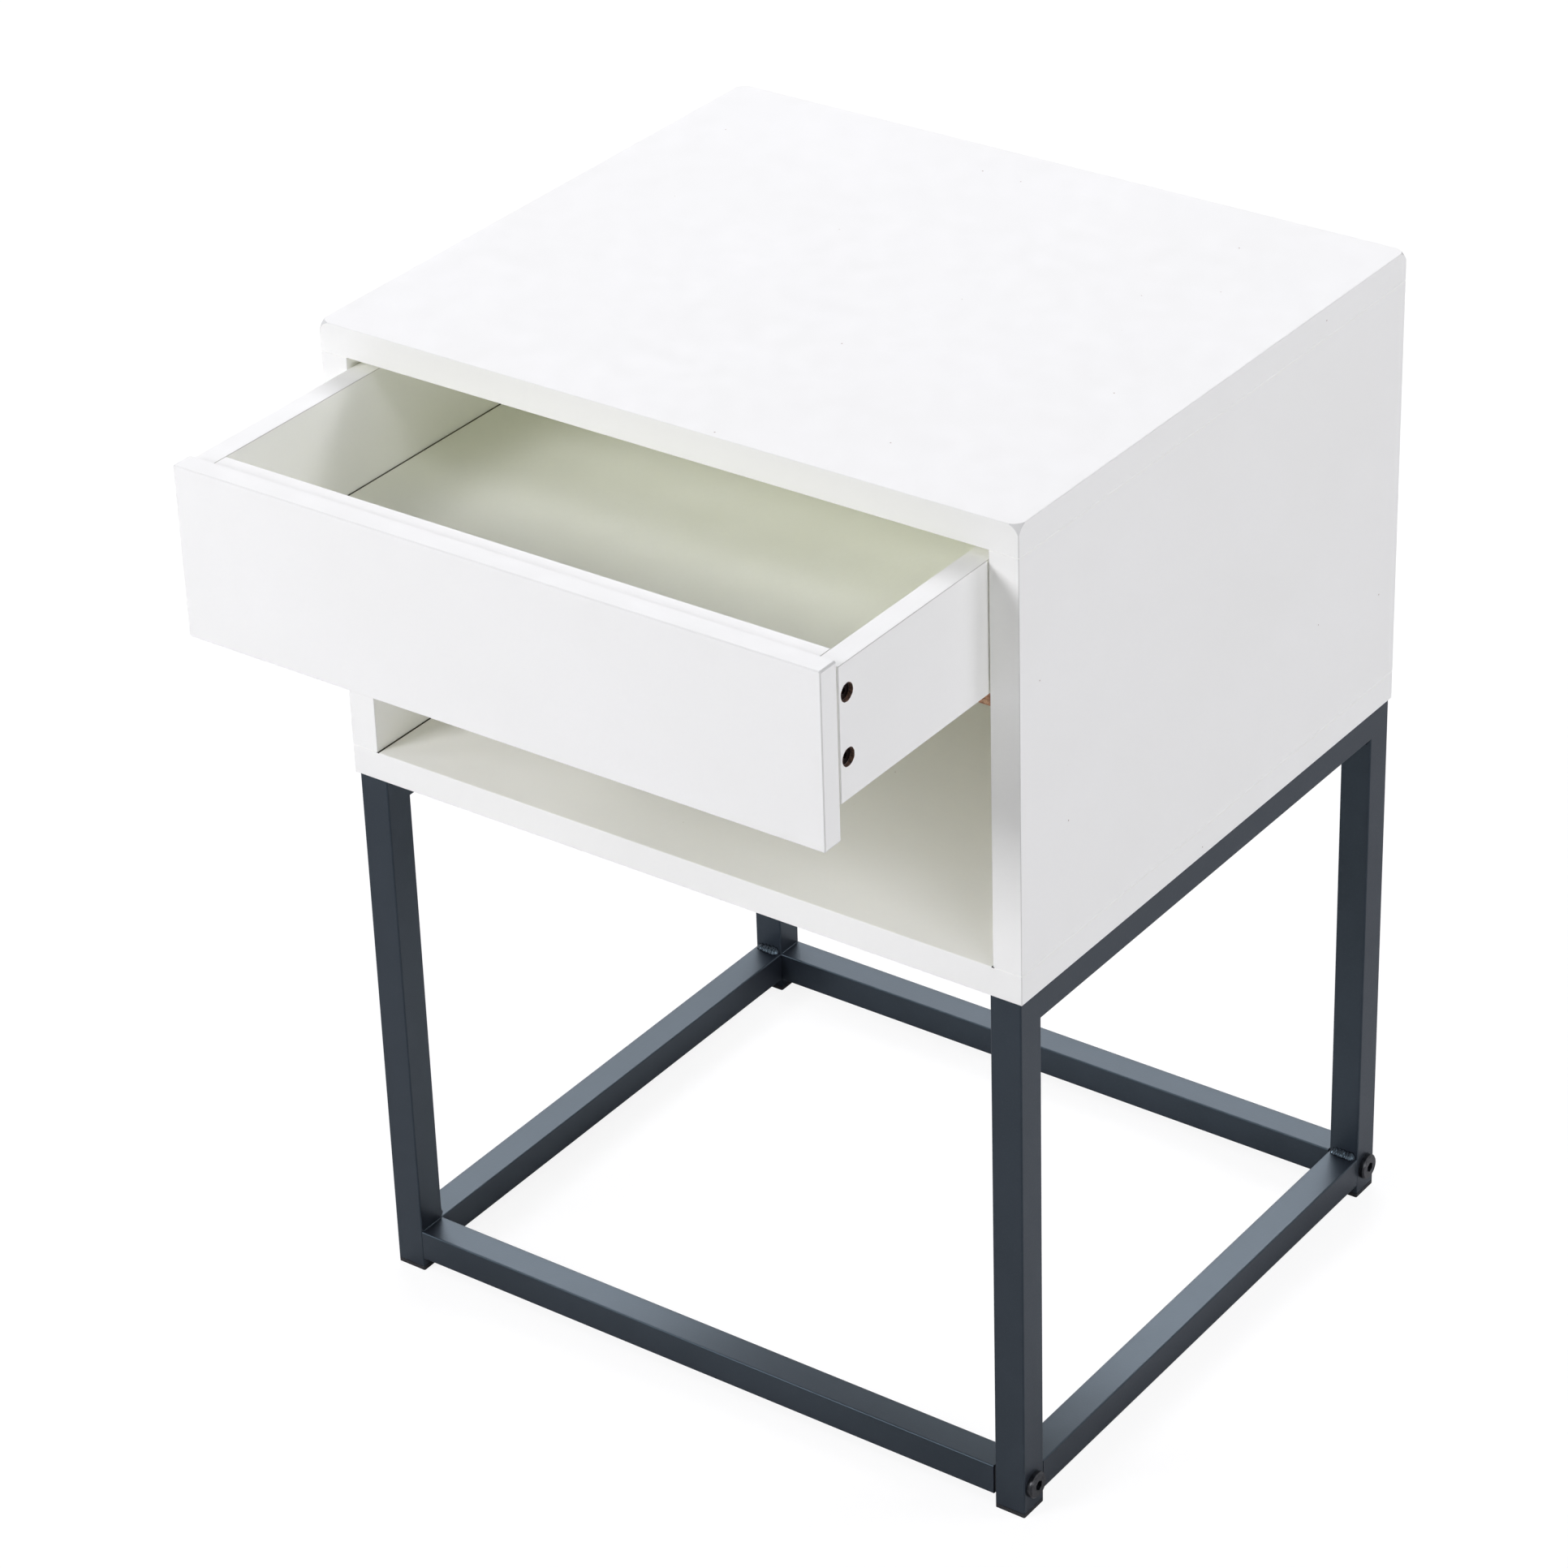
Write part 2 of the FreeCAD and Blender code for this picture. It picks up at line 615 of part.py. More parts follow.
def make_rail_bolts():
    """One bolt through the outside of each right leg into the end plug of a cross rail."""
    length = "(tube_width + rail_bolt_grip)"
    bolt = add_fastener("rail_bolt", length, "bevelled")
    tip = f"{LEG_SIDE} + tube_width / 2 - {length}"
    places = [(tip, y, LOW_RAIL_MIDDLE, ALONG_X) for y in (LEG_FRONT, LEG_BACK)]
    keep_copies(bolt, "rail_bolts", places)


def make_box_screws():
    """Screws up through the top rails into the bottom panel."""
    screw = add_fastener("box_screw", "box_screw_length")
    tip = f"{TOP_RAIL_MIDDLE} - tube_width / 2 + box_screw_length"
    places = [
        (f"{side} * {LEG_SIDE}", f"{FRAME_MIDDLE} + {step} * box_screw_spacing", tip, UPSIDE_DOWN)
        for side in (-1, 1)
        for step in ROW_OF_TWO
    ]
    keep_copies(screw, "frame_to_box_screws", places)


# Drawer, drawn where it stands at rest

def make_drawer_front():
    body = new_body("drawer_front")
    sketch = new_sketch(body, "XZ_Plane", "front_outline")
    width = f"{OPENING_WIDTH} - 2 * front_side_gap"
    add_rounded_rectangle(sketch, width, "front_height", "front_corner_round")
    pad = add_pad(body, sketch, "front_thickness", midplane=True)
    depth = amount("front_thickness")
    break_edges(body, pad, "front_edge_bevel", lambda edge: edge.BoundBox.YLength < depth / 2)
    place(body, y=f"{DRAWER_FACE} + front_thickness / 2", z=f"{FRONT_TOP} - front_height / 2")
    keep(body, "drawer_front")


def add_floor_groove(body, name, role, length, z, backwards):
    """The groove in a drawer board that the floor slides into."""
    sketch = new_sketch(body, role, f"{name}_groove", y=FLOOR_ABOVE_MIDDLE, z=z)
    add_rectangle(sketch, length, "floor_thickness + groove_play")
    add_pocket(body, sketch, "floor_groove_depth", backwards)


def make_drawer_side(hand, sign):
    """A side with sunk screw holes at its front end and a groove for the floor."""
    name = f"drawer_side_{hand}"
    body = add_board(name, "drawer_board", DRAWER_SIDE_LENGTH, "drawer_side_height")
    inner = f"{'-' if sign > 0 else ''}drawer_board / 2"
    outer = f"{'' if sign > 0 else '-'}drawer_board / 2"
    groove_length = f"{DRAWER_SIDE_LENGTH} - 2 * (drawer_board - floor_groove_depth)"
    add_floor_groove(body, name, "YZ_Plane", groove_length, inner, sign > 0)
    height = SIDE_SCREWS_ABOVE_MIDDLE
    along = f"-{DRAWER_SIDE_LENGTH} / 2 + drawer_board / 2"
    sinks = new_sketch(body, "YZ_Plane", f"{name}_sinks", x=along, y=height, z=outer, spin=QUARTER_TURN)
    add_hole_row(sinks, "side_screw_hole", ROW_OF_TWO, "side_screw_spacing")
    add_pocket(body, sinks, "side_screw_sink + side_screw_head_height", backwards=sign < 0)
    bores = new_sketch(body, "YZ_Plane", f"{name}_bores", x=along, y=height, z=outer, spin=QUARTER_TURN)
    add_hole_row(bores, "side_screw_shank", ROW_OF_TWO, "side_screw_spacing")
    add_pocket(body, bores, "drawer_board + cut_overrun", backwards=sign < 0)
    place(body, f"{sign} * {DRAWER_SIDE_MIDDLE}", SIDES_MIDDLE, f"{DRAWER_BOTTOM} + drawer_side_height / 2")
    keep(body, name)


def make_inner_front():
    """The board behind the front, held between the sides by screws in its ends."""
    body = add_board("drawer_inner_front", DRAWER_INSIDE, "drawer_board", "drawer_side_height")
    groove_length = f"{DRAWER_INSIDE} + 2 * cut_overrun"
    add_floor_groove(body, "inner_front", "XZ_Plane", groove_length, "-drawer_board / 2", True)
    pilots = new_sketch(
        body, "YZ_Plane", "inner_front_pilots",
        y=SIDE_SCREWS_ABOVE_MIDDLE, z=f"{DRAWER_INSIDE} / 2", spin=QUARTER_TURN,
    )
    add_hole_row(pilots, "side_screw_shank", ROW_OF_TWO, "side_screw_spacing")
    depth = "side_screw_sink + side_screw_head_height + side_screw_length - drawer_board"
    add_mirror(body, [add_pocket(body, pilots, depth)], "YZ_Plane")
    place(body, y=INNER_FRONT_MIDDLE, z=f"{DRAWER_BOTTOM} + drawer_side_height / 2")
    keep(body, "drawer_inner_front")


def make_drawer_back():
    """The back of the drawer, glued between the sides."""
    body = add_board("drawer_back", DRAWER_INSIDE, "drawer_board", "drawer_side_height")
    groove_length = f"{DRAWER_INSIDE} + 2 * cut_overrun"
    add_floor_groove(body, "back", "XZ_Plane", groove_length, "drawer_board / 2", False)
    place(body, y=DRAWER_BACK_MIDDLE, z=f"{DRAWER_BOTTOM} + drawer_side_height / 2")
    keep(body, "drawer_back")


def make_drawer_floor():
    """The thin floor that slides in the grooves of all four drawer boards."""
    grip = "2 * (floor_groove_depth - groove_play)"
    body = new_body("drawer_floor")
    sketch = new_sketch(body, "XY_Plane", "floor_outline")
    add_rectangle(sketch, f"{DRAWER_INSIDE} + {grip}", f"{DRAWER_SIDE_LENGTH} - 2 * drawer_board + {grip}")
    add_pad(body, sketch, "floor_thickness", midplane=True)
    place(body, y=SIDES_MIDDLE, z=FLOOR_MIDDLE)
    keep(body, "drawer_floor")


def make_drawer_screws():
    """Screws sunk in the drawer sides that hold the inner front."""
    screw = add_fastener("side_screw", "side_screw_length", "countersunk")
    tip = f"({DRAWER_WIDTH} / 2 - side_screw_sink - side_screw_head_height - side_screw_length)"
    middle = f"{DRAWER_BOTTOM} + drawer_side_height / 2 + {SIDE_SCREWS_ABOVE_MIDDLE}"
    places = [
        (f"{side} * {tip}", INNER_FRONT_MIDDLE, f"{middle} + {step} * side_screw_spacing", turn)
        for side, turn in ((-1, ALONG_MINUS_X), (1, ALONG_X))
        for step in ROW_OF_TWO
    ]
    keep_copies(screw, "drawer_front_screws", places)


# Runners: raw wooden strips, glued to the side panels, that carry the drawer's sides

def make_runner(hand, sign):
    name = f"runner_{hand}"
    body = add_board(name, "runner_width", RUNNER_LENGTH, "runner_height")
    place(body, f"{sign} * {RUNNER_SIDE}", RUNNER_MIDDLE, RUNNER_CENTRE_HEIGHT)
    keep(body, name)


def write_parts():
    """Check every object, then write each sub-part under its node's name."""
    doc.recompute()
    for item in doc.Objects:
        if "Invalid" in item.State or "Error" in item.State:
            raise ValueError(f"{item.Label} did not build: {item.State}")
    for part in sub_parts:
        if part.Shape.isNull() or not part.Shape.isValid():
            raise ValueError(f"{part.Label} has no valid shape")
    os.makedirs("parts", exist_ok=True)
    for part in sub_parts:
        part.Shape.exportStep(os.path.join("parts", f"{part.Label}.step"))
        print(f"{part.Label}: {len(part.Shape.Solids)} solids, {part.Shape.Volume:.0f} cubic mm")


make_top_panel()
make_bottom_panel()
for hand, sign in (("left", -1), ("right", 1)):
    make_side_panel(hand, sign)
make_back_panel()
for end, y, turn in (("front", LEG_FRONT, UPRIGHT), ("back", LEG_BACK, HALF_ROUND)):
    for hand, side in (("left", -1), ("right", 1)):
        make_leg(end, hand, side, y, turn)
        make_foot_cap(end, hand, side, y)
    make_cross_rail(end, y)
for hand, side in (("left", -1), ("right", 1)):
    make_top_rail(hand, side)
    make_side_rail(hand, side)
make_end_plugs()
make_rail_bolts()
make_box_screws()
make_drawer_front()
for hand, sign in (("left", -1), ("right", 1)):
    make_drawer_side(hand, sign)
make_inner_front()
make_drawer_back()
make_drawer_floor()
make_drawer_screws()
for hand, sign in (("left", -1), ("right", 1)):
    make_runner(hand, sign)
write_parts()
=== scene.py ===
import math

import bmesh
import bpy
from mathutils import Matrix, Vector
from mathutils import noise as mathutils_noise


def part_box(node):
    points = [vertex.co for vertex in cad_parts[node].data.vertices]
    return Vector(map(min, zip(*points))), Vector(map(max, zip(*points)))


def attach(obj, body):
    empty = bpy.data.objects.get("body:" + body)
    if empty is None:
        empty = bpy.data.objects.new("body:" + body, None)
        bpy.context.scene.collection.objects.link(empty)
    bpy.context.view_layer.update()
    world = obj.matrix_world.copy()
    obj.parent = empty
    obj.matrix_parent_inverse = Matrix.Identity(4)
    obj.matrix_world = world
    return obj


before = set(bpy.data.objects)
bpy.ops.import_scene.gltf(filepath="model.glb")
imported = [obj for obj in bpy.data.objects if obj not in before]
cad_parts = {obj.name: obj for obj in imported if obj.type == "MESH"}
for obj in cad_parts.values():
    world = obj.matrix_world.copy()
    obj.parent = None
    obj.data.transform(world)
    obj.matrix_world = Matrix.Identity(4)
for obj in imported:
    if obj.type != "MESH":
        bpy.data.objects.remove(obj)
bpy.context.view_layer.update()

# Nightstand: a white box with one drawer over an open shelf, on a frame of square steel tube.
# Lengths are in metres. +X is to the right, +Y to the back, +Z up, and the floor is at Z = 0.

MM = 0.001
SCENE = bpy.context.scene

# Light passes from board to board this many times, which brightens the white insides
DIFFUSE_BOUNCES = 12

# Camera: above and to the right of the open drawer, with its sensor and lens in millimetres
CAMERA_PLACE = (1.2816, -1.8139, 1.5735)
CAMERA_AZIMUTH = math.radians(35.641)
CAMERA_ELEVATION = math.radians(29.335)
CAMERA_ROLL = math.radians(-1.513)
SENSOR = 36
LENS = 115.97
SHIFT_X = -0.0396
SHIFT_Y = -0.0579

# Softboxes by name: place, width and height, and power in watts
SOFTBOXES = {
    "key": ((-1.2, -2.35, 1.61), (1.0, 1.0), 47.5),
    "low_side": ((2.85, -0.6, 0.55), (1.2, 0.6), 13),
    "high_side": ((1.87, 1.08, 2.34), (1.0, 1.0), 26),
    "front_side": ((1.87, -1.08, 2.34), (1.0, 1.0), 13.5),
    "left": ((-1.87, -1.08, 2.34), (0.6, 0.6), 7),
    "rear": ((-1.49, 1.97, 1.54), (2.4, 1.3), 8),
    "high_rear": ((-1.43, 1.9, 2.29), (2.4, 0.6), 48),
}
SOFTBOX_COLOUR = (0.94, 0.935, 1.0)
SOFTBOX_AIM = (0, 0, 0.3)

# Sky: faint as a light. Where it is seen or mirrored, it is white up to an elevation.
SKY_LIGHT = 0.03
SKY_COLOUR = (0.955, 0.96, 1.0)
WHITE_TOP = math.radians(45)
WHITE_TOP_BLUR = math.radians(1.5)

# Floor: its colours for the light that it returns, where it is seen, and in gloss
FLOOR_REACH = 6
FLOOR_SEGMENTS = 8
FLOOR_COLOUR = (0.9, 0.9, 0.9)
FLOOR_SEEN = (0.17, 0.17, 0.17)
FLOOR_SEEN_GLOW = 0.88
FLOOR_IN_GLOSS = (0.82, 0.82, 0.82)

# Colours, as linear red, green and blue
WHITE_BOARD = (0.955, 0.957, 0.912)
WHITE_SHADE = (0.94, 0.942, 0.893)
BOARD_SEAM = (0.45, 0.44, 0.4)
# Painted shade on the boards' rounded corners
BOARD_CORNER_SHADE = (0.76, 0.765, 0.73)
BOARD_SPECK = (0.35, 0.24, 0.17)
HARDBOARD = (0.945, 0.955, 0.875)
HARDBOARD_SHADE = (0.91, 0.92, 0.83)
# Painted shade for the gaps between level boards and the sides
GAP_SHADE = (0.05, 0.045, 0.035)
RAW_WOOD = (0.47, 0.23, 0.13)
RAW_WOOD_LIGHT = (0.62, 0.38, 0.23)
RAW_WOOD_DARK = (0.2, 0.085, 0.045)
COATING = (0.009, 0.0105, 0.015)
COATING_LIGHT = (0.015, 0.0175, 0.024)
COATING_GLOSS = (0.63, 0.86, 1.0)
PLASTIC = (0.009, 0.01, 0.012)
PLASTIC_WORN = (0.025, 0.026, 0.03)
BLACK_OXIDE = (0.005, 0.006, 0.008)
BLACK_OXIDE_WORN = (0.014, 0.017, 0.022)
SCREW_STEEL = (0.11, 0.085, 0.075)
SCREW_STEEL_DARK = (0.03, 0.022, 0.02)
RIM_WOOD = (0.09, 0.045, 0.028)
RIM_WOOD_LIGHT = (0.22, 0.12, 0.075)
RIM_WOOD_DARK = (0.03, 0.022, 0.02)

# Texture sizes: how far apart clouds, grains, chips or specks are. A chip's grain is a share of its size.
BOARD_CLOUD = 80 * MM
BOARD_MOTTLE = 1.5 * MM
BOARD_WAVE = 9 * MM
BOARD_PEEL = 0.9 * MM
BOARD_SHEEN = 12 * MM
SPECK_SPACING = 12 * MM
HARDBOARD_CLOUD = 60 * MM
FIBRE = 1.2 * MM
RUNNER_CHIP = 3 * MM
RIM_CHIP = 1.2 * MM
COATING_CLOUD = 30 * MM
COATING_GRAIN = 0.9 * MM
WELD_GRAIN = 1.6 * MM
PLASTIC_GRAIN = 0.5 * MM
PLASTIC_SCUFF = 4 * MM
METAL_PATCH = 2.5 * MM
METAL_GRAIN = 0.35 * MM
CHIP_GRAIN_SHARE = 0.25

# How much closer together a texture's marks are along each axis, or further apart below 1
FIBRE_SQUEEZE = (1.0, 0.3, 1.0)
CHIP_SQUEEZE = (1.0, 0.45, 1.6)
SCUFF_SQUEEZE = (1.0, 1.0, 0.3)

# Relief depths
BOARD_RELIEF = 0.01 * MM
FIBRE_RELIEF = 0.03 * MM
CHIP_RELIEF = 0.15 * MM
COATING_RELIEF = 0.03 * MM
WELD_RELIEF = 0.06 * MM
PLASTIC_RELIEF = 0.04 * MM
METAL_RELIEF = 0.02 * MM

# Most of a noise's values lie in the first range, and nearly all in the second
NOISE_MIDDLE = (0.35, 0.65)
NOISE_MOST = (0.3, 0.7)

# Ranges of noise, of a cell's random value, or of the distance from its middle, where marks appear
FIBRE_RANGE = (0.35, 0.75)
CHIP_TINT_RANGE = (0.1, 0.9)
CHIP_GRAIN_RANGE = (0.5, 0.75)
CHIP_GAP_RANGE = (0.45, 0.8)
COATING_GRAIN_RANGE = (0.5, 0.75)
SCUFF_RANGE = (0.58, 0.75)
RUBBED_RANGE = (0.5, 0.72)
SPECK_RANGE = (0.025, 0.045)

# The share of cells without a speck
SPECKLESS_SHARE = 0.8

# How strongly each mark shows at the low and at the high end of its range
NONE_TO_FULL = (0, 1)
FULL_TO_NONE = (1, 0)
MOTTLE_SHARES = (0, 0.5)
FIBRE_SHARES = (0, 0.5)
CHIP_GAP_SHARES = (0, 0.8)
COATING_CLOUD_SHARES = (0, 0.4)
SPECK_SHARES = (0.7, 0)

# How much of the seam's colour shows on upright edges, and along the rims of the drawer's sides
BOX_EDGE_SHARE = 0.45
DRAWER_EDGE_SHARE = 0.35
DRAWER_RIM_SHARE = 0.6

# Roughness from the smoothest to the roughest spots, and how strongly a finish mirrors
BOARD_ROUGHNESS = (0.48, 0.58)
HARDBOARD_ROUGHNESS = (0.45, 0.58)
CHIP_ROUGHNESS = (0.75, 0.95)
COATING_ROUGHNESS = (0.33, 0.41)
WELD_ROUGHNESS = (0.15, 0.28)
PLASTIC_ROUGHNESS = (0.45, 0.65)
METAL_ROUGHNESS = (0.25, 0.4)
BOARD_SPECULAR = 0.22
COATING_SPECULAR = 0.56
OXIDE_METALLIC = 0.1
STEEL_METALLIC = 0.9

# Painted shade in the gaps where the shelf and the drawer's floor meet the sides: how far it reaches
SHELF_GAP = 0.8 * MM
DRAWER_GAP = 0.9 * MM

# A bevel's normal has two parts of this size, give or take a little
HALF_TURNED = math.sqrt(0.5)
NORMAL_PLAY = 0.02

# Welds by kind: how far they reach along each wall, how many ripples they have, and how lumpy they are
WELDS = {
    "top": (4 * MM, 9, 0.22),
    "low": (3.5 * MM, 6, 0.3),
    "cross": (0.6 * MM, 12, 0.15),
}

# All welds: rows along and steps across them, how deep they sit, and what shapes them
WELD_ROWS = 48
WELD_SECTION = 8
WELD_SUNK = 0.3 * MM
WELD_END_GAP = 1.2 * MM
WELD_LUMP = 4 * MM
WELD_RIPPLE_SHARE = 0.09
WELD_ROUND_SHARE = 0.45
WELD_LEAST_SHARE = 0.05
WELD_END_POWER = 6

# Screw holes in the drawer's sides, with the grain of their torn rims as a share of the radius
HOLE_SEGMENTS = 64
HOLE_RADIUS = 4.35 * MM
HOLE_DEPTH = 2 * MM
LINING_GAP = 0.03 * MM
LEAST_TEAR = 0.08 * MM
TEAR_SPREAD = 0.4 * MM
TEAR_GRAIN = 0.35


# Material nodes

def start_material(name):
    """A material's node tree, its shader, and its object's own coordinates."""
    material = bpy.data.materials.new(name)
    material.use_nodes = True
    tree = material.node_tree
    place = tree.nodes.new("ShaderNodeTexCoord").outputs["Object"]
    return material, tree, tree.nodes["Principled BSDF"], place


def feed(tree, socket, value):
    """Link a value that varies, or set one that doesn't."""
    if isinstance(value, bpy.types.NodeSocket):
        tree.links.new(value, socket)
    elif isinstance(value, tuple):
        socket.default_value = (*value, 1)
    else:
        socket.default_value = value


def noise(tree, place, grain, layers=2, strength=0.5):
    """Noise whose bumps are about one grain apart, with finer layers of bumps over them."""
    node = tree.nodes.new("ShaderNodeTexNoise")
    tree.links.new(place, node.inputs["Vector"])
    node.inputs["Scale"].default_value = 1 / grain
    node.inputs["Detail"].default_value = layers
    node.inputs["Roughness"].default_value = strength
    return node.outputs["Fac"]


def cells(tree, place, size):
    """Irregular cells about one size across: distance to each middle, and a colour for each cell."""
    node = tree.nodes.new("ShaderNodeTexVoronoi")
    tree.links.new(place, node.inputs["Vector"])
    node.inputs["Scale"].default_value = 1 / size
    return node.outputs["Distance"], node.outputs["Color"]


def squeezed(tree, place, squeeze):
    """The coordinates scaled along each axis, so that marks draw together there or apart."""
    node = tree.nodes.new("ShaderNodeMapping")
    tree.links.new(place, node.inputs["Vector"])
    node.inputs["Scale"].default_value = squeeze
    return node.outputs["Vector"]


def spread(tree, value, source, result=NONE_TO_FULL):
    """The value's source range spread over another range, and kept inside it."""
    node = tree.nodes.new("ShaderNodeMapRange")
    tree.links.new(value, node.inputs["Value"])
    for socket, number in zip(("From Min", "From Max", "To Min", "To Max"), (*source, *result)):
        node.inputs[socket].default_value = number
    return node.outputs["Result"]


def compute(tree, kind, first, second=0.0, third=0.0):
    """One step of arithmetic, or a comparison that gives 1 or 0."""
    node = tree.nodes.new("ShaderNodeMath")
    node.operation = kind
    for socket, value in zip(node.inputs, (first, second, third)):
        feed(tree, socket, value)
    return node.outputs["Value"]


def blend(tree, share, first, second):
    """The first colour going over into the second by a share from 0 to 1."""
    node = tree.nodes.new("ShaderNodeMix")
    node.data_type = "RGBA"
    factor, *rest = [socket for socket in node.inputs if socket.enabled]
    feed(tree, factor, share)
    feed(tree, rest[0], first)
    feed(tree, rest[1], second)
    return next(socket for socket in node.outputs if socket.enabled)


def parts_of(tree, vector):
    """The X, Y and Z of a vector."""
    node = tree.nodes.new("ShaderNodeSeparateXYZ")
    tree.links.new(vector, node.inputs["Vector"])
    return node.outputs


def true_normal(tree):
    """Which way a face looks, before any smoothing or relief."""
    return tree.nodes.new("ShaderNodeNewGeometry").outputs["True Normal"]


def add_bump(tree, shader, height, depth, below=None):
    """Raise the surface by up to a depth where the height is 1."""
    node = tree.nodes.new("ShaderNodeBump")
    node.inputs["Distance"].default_value = depth
    tree.links.new(height, node.inputs["Height"])
    if below:
        tree.links.new(below, node.inputs["Normal"])
    tree.links.new(node.outputs["Normal"], shader.inputs["Normal"])
    return node.outputs["Normal"]


# Materials of the box and drawer

def slanted_faces(tree):
    """1 on upright bevels, on lengthwise bevels, and on rounded corners."""
    sizes = tree.nodes.new("ShaderNodeVectorMath")
    sizes.operation = "ABSOLUTE"
    tree.links.new(true_normal(tree), sizes.inputs[0])
    x, y, z = parts_of(tree, sizes.outputs["Vector"])
    halves = [compute(tree, "COMPARE", part, HALF_TURNED, NORMAL_PLAY) for part in (x, y, z)]
    half_x, half_y, half_z = halves
    upright = compute(tree, "MULTIPLY", half_x, half_y)
    lengthwise = compute(tree, "MULTIPLY", half_x, half_z)
    crosswise = compute(tree, "MULTIPLY", half_y, half_z)
    bevel = compute(tree, "MAXIMUM", upright, compute(tree, "MAXIMUM", lengthwise, crosswise))
    largest = compute(tree, "MAXIMUM", compute(tree, "MAXIMUM", x, y), z)
    slanted = compute(tree, "LESS_THAN", largest, 1 - NORMAL_PLAY)
    return upright, lengthwise, compute(tree, "SUBTRACT", slanted, bevel)


def add_seams_and_corner_shade(tree, colour, upright_share, lengthwise_share):
    """The colour with painted shade on its rounded corners, and with seams along upright edges and
    lengthwise rims.
    """
    upright, lengthwise, rounded = slanted_faces(tree)
    # Painted shade on the rounded corners
    colour = blend(tree, rounded, colour, BOARD_CORNER_SHADE)
    colour = blend(tree, compute(tree, "MULTIPLY", upright, upright_share), colour, BOARD_SEAM)
    return blend(tree, compute(tree, "MULTIPLY", lengthwise, lengthwise_share), colour, BOARD_SEAM)


def add_gap_shade(tree, place, colour, inner_face, top, reach):
    """The colour with painted shade within a reach of the lines where a level board's top meets the
    sides.
    """
    point = parts_of(tree, place)
    normal = parts_of(tree, true_normal(tree))
    beside = compute(tree, "COMPARE", compute(tree, "ABSOLUTE", point["X"]), inner_face, reach)
    level = compute(tree, "COMPARE", point["Z"], top, reach)
    faces_up = compute(tree, "GREATER_THAN", normal["Z"], HALF_TURNED)
    # Painted shade along the gap where the board meets a side
    gap_shade = compute(tree, "MULTIPLY", compute(tree, "MULTIPLY", beside, level), faces_up)
    return blend(tree, gap_shade, colour, GAP_SHADE)


def add_specks(tree, place, colour):
    """The colour with rare brown specks, one to a chosen cell."""
    distance, cell = cells(tree, place, SPECK_SPACING)
    near = spread(tree, distance, SPECK_RANGE, SPECK_SHARES)
    chosen = compute(tree, "GREATER_THAN", cell, SPECKLESS_SHARE)
    return blend(tree, compute(tree, "MULTIPLY", near, chosen), colour, BOARD_SPECK)


def make_white_board(name, upright_share, lengthwise_share):
    """Matt white laminate: faint clouds, a fine orange peel, rare specks, its edge seams, and painted
    shade on its rounded corners and in the shelf's gaps.
    """
    material, tree, shader, place = start_material(name)
    cloud = spread(tree, noise(tree, place, BOARD_CLOUD), NOISE_MIDDLE)
    mottle = spread(tree, noise(tree, place, BOARD_MOTTLE, layers=3), NOISE_MOST, MOTTLE_SHARES)
    colour = blend(tree, mottle, blend(tree, cloud, WHITE_BOARD, WHITE_SHADE), WHITE_SHADE)
    colour = add_seams_and_corner_shade(tree, colour, upright_share, lengthwise_share)
    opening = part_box("side_panel_right")[0].x
    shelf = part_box("bottom_panel")[1].z
    colour = add_gap_shade(tree, place, colour, opening, shelf, SHELF_GAP)
    feed(tree, shader.inputs["Base Color"], add_specks(tree, place, colour))
    sheen = noise(tree, place, BOARD_SHEEN, layers=4)
    feed(tree, shader.inputs["Roughness"], spread(tree, sheen, NOISE_MOST, BOARD_ROUGHNESS))
    shader.inputs["Specular IOR Level"].default_value = BOARD_SPECULAR
    waves = add_bump(tree, shader, noise(tree, place, BOARD_WAVE), BOARD_RELIEF)
    add_bump(tree, shader, noise(tree, place, BOARD_PEEL, layers=3), BOARD_RELIEF, waves)
    return material


def make_hardboard(name):
    """Thin lacquered board: a fine streaky grain, and painted shade in the gap where the drawer's floor
    ends.
    """
    material, tree, shader, place = start_material(name)
    cloud = spread(tree, noise(tree, place, HARDBOARD_CLOUD), NOISE_MIDDLE)
    fibres = noise(tree, squeezed(tree, place, FIBRE_SQUEEZE), FIBRE, layers=4)
    colour = blend(tree, cloud, HARDBOARD, HARDBOARD_SHADE)
    colour = blend(tree, spread(tree, fibres, FIBRE_RANGE, FIBRE_SHARES), colour, HARDBOARD_SHADE)
    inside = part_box("drawer_side_right")[0].x
    drawer_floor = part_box("drawer_floor")[1].z
    colour = add_gap_shade(tree, place, colour, inside, drawer_floor, DRAWER_GAP)
    feed(tree, shader.inputs["Base Color"], colour)
    feed(tree, shader.inputs["Roughness"], spread(tree, fibres, NOISE_MOST, HARDBOARD_ROUGHNESS))
    add_bump(tree, shader, fibres, FIBRE_RELIEF)
    return material


def make_chipboard(name, dark, middle, light, chip):
    """Pressed wood chips: cells of three browns, with gaps between them."""
    material, tree, shader, place = start_material(name)
    lying = squeezed(tree, place, CHIP_SQUEEZE)
    distance, cell = cells(tree, lying, chip)
    fine = noise(tree, lying, chip * CHIP_GRAIN_SHARE, layers=4)
    colour = blend(tree, spread(tree, cell, CHIP_TINT_RANGE), middle, light)
    colour = blend(tree, spread(tree, fine, CHIP_GRAIN_RANGE), colour, dark)
    colour = blend(tree, spread(tree, distance, CHIP_GAP_RANGE, CHIP_GAP_SHARES), colour, dark)
    feed(tree, shader.inputs["Base Color"], colour)
    feed(tree, shader.inputs["Roughness"], spread(tree, fine, NOISE_MOST, CHIP_ROUGHNESS))
    chips = add_bump(tree, shader, distance, -CHIP_RELIEF)
    add_bump(tree, shader, fine, CHIP_RELIEF / 2, chips)
    return material


# Materials of the frame and its small parts

